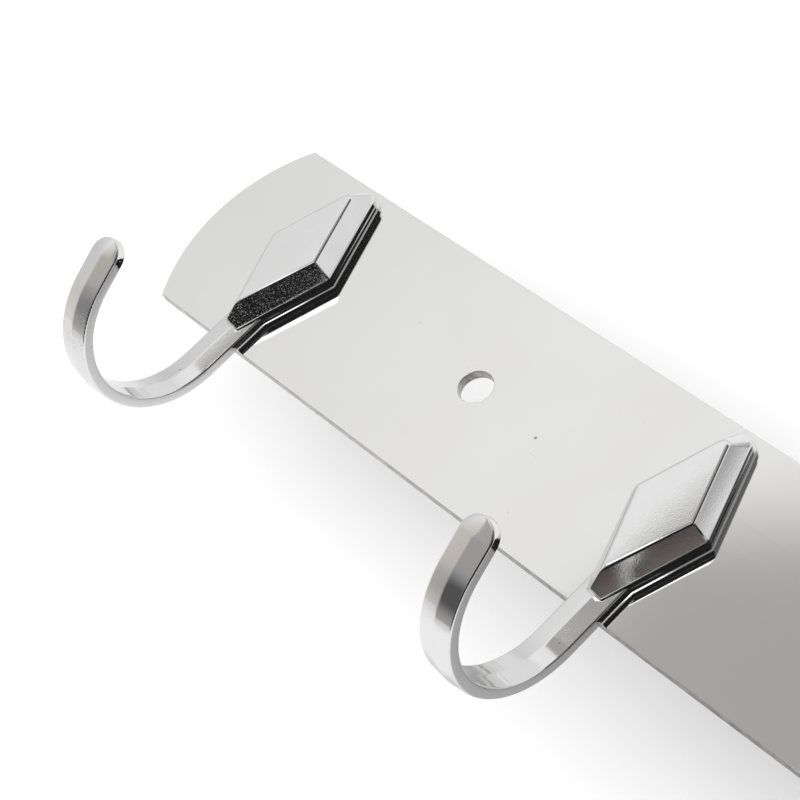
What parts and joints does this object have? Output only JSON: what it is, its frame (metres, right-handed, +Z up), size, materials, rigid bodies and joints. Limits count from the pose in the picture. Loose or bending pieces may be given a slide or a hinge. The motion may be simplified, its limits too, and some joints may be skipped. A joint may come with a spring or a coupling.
{
  "type": "coat hook rack",
  "caption": "Polished steel strip with bowed ends carrying a row of chromed J-shaped coat hooks with long rhombus heads, screwed to a wall through plain holes.",
  "frame": {"origin": "middle of the strip's back face, which lies on the wall", "axes": "+X along the rack, +Y into the wall, +Z up"},
  "size_m": [0.3192, 0.0299, 0.0486],
  "materials": {
    "polished_steel": "mirror-polished stainless sheet with light wear",
    "chrome": "bright chrome plating over a zinc casting",
    "screw_steel": "zinc-plated"
  },
  "bodies": {
    "root": {"back_plate": "polished_steel", "hook_1": "chrome", "hook_2": "chrome", "hook_3": "chrome", "hook_4": "chrome", "hook_5": "chrome", "screw_1": "screw_steel", "screw_2": "screw_steel", "screw_3": "screw_steel", "screw_4": "screw_steel", "screw_5": "screw_steel"}
  },
  "joints": []
}
